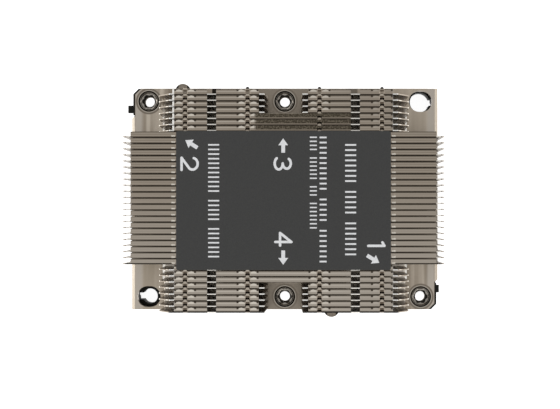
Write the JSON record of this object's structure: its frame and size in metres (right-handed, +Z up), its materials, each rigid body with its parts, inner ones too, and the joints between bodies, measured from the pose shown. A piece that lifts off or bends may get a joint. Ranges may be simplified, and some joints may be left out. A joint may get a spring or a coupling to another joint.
{
  "type": "heatsink",
  "caption": "Flat passive heatsink for a server processor: folded metal fins on a plated base with heat pipes, captive nuts, a dark label and a black processor carrier",
  "frame": {"origin": "centre of the contact face under the base, where the processor touches it", "axes": "+X along the fins and the air flow, +Y across the fins towards the rear edge (up in the picture), +Z up out of the fins"},
  "size_m": [0.1101, 0.0824, 0.0297],
  "materials": {
    "plated_base": "satin nickel plating",
    "heat_pipe": "satin nickel plating",
    "fin_sheet": "bright sheet",
    "label_film": "matt dark grey film",
    "black_plastic": "moulded, fine grain",
    "nut_steel": "bright plating"
  },
  "bodies": {
    "heatsink": {"base_plate": "plated_base", "heat_pipe_rear": "heat_pipe", "heat_pipe_front": "heat_pipe", "fin_01_left": "fin_sheet", "fin_01_right": "fin_sheet", "fin_02_left": "fin_sheet", "fin_02_right": "fin_sheet", "fin_03_left": "fin_sheet", "fin_03_right": "fin_sheet", "fin_04_left": "fin_sheet", "fin_04_right": "fin_sheet", "fin_05": "fin_sheet", "fin_06": "fin_sheet", "fin_07": "fin_sheet", "fin_08": "fin_sheet", "fin_09": "fin_sheet", "fin_10": "fin_sheet", "fin_11": "fin_sheet", "fin_12": "fin_sheet", "fin_13": "fin_sheet", "fin_14": "fin_sheet", "fin_15": "fin_sheet", "fin_16": "fin_sheet", "fin_17": "fin_sheet", "fin_18": "fin_sheet", "fin_19": "fin_sheet", "fin_20": "fin_sheet", "fin_21": "fin_sheet", "fin_22": "fin_sheet", "fin_23": "fin_sheet", "fin_24": "fin_sheet", "fin_25": "fin_sheet", "fin_26": "fin_sheet", "fin_27": "fin_sheet", "fin_28": "fin_sheet", "fin_29": "fin_sheet", "fin_30": "fin_sheet", "fin_31": "fin_sheet", "fin_32": "fin_sheet", "fin_33_left": "fin_sheet", "fin_33_right": "fin_sheet", "fin_34_left": "fin_sheet", "fin_34_right": "fin_sheet", "fin_35_left": "fin_sheet", "fin_35_right": "fin_sheet", "fin_36_left": "fin_sheet", "fin_36_right": "fin_sheet", "fin_37_left": "fin_sheet", "fin_37_right": "fin_sheet", "label": "label_film", "processor_carrier": "black_plastic"},
    "rear_left_nut": {"nut_rear_left": "nut_steel"},
    "front_right_nut": {"nut_front_right": "nut_steel"},
    "rear_middle_nut": {"nut_rear_middle": "nut_steel"},
    "front_middle_nut": {"nut_front_middle": "nut_steel"}
  },
  "joints": [
    {"name": "rear_left_nut_turn", "type": "hinge", "parent": "heatsink", "child": "rear_left_nut", "pos_m": [-0.048, 0.0345, 0.0023], "axis": [0, 0, 1], "continuous": true},
    {"name": "front_right_nut_turn", "type": "hinge", "parent": "heatsink", "child": "front_right_nut", "pos_m": [0.048, -0.0345, 0.0023], "axis": [0, 0, 1], "continuous": true},
    {"name": "rear_middle_nut_turn", "type": "hinge", "parent": "heatsink", "child": "rear_middle_nut", "pos_m": [0, 0.0345, 0.0023], "axis": [0, 0, 1], "continuous": true},
    {"name": "front_middle_nut_turn", "type": "hinge", "parent": "heatsink", "child": "front_middle_nut", "pos_m": [0, -0.0345, 0.0023], "axis": [0, 0, 1], "continuous": true}
  ]
}
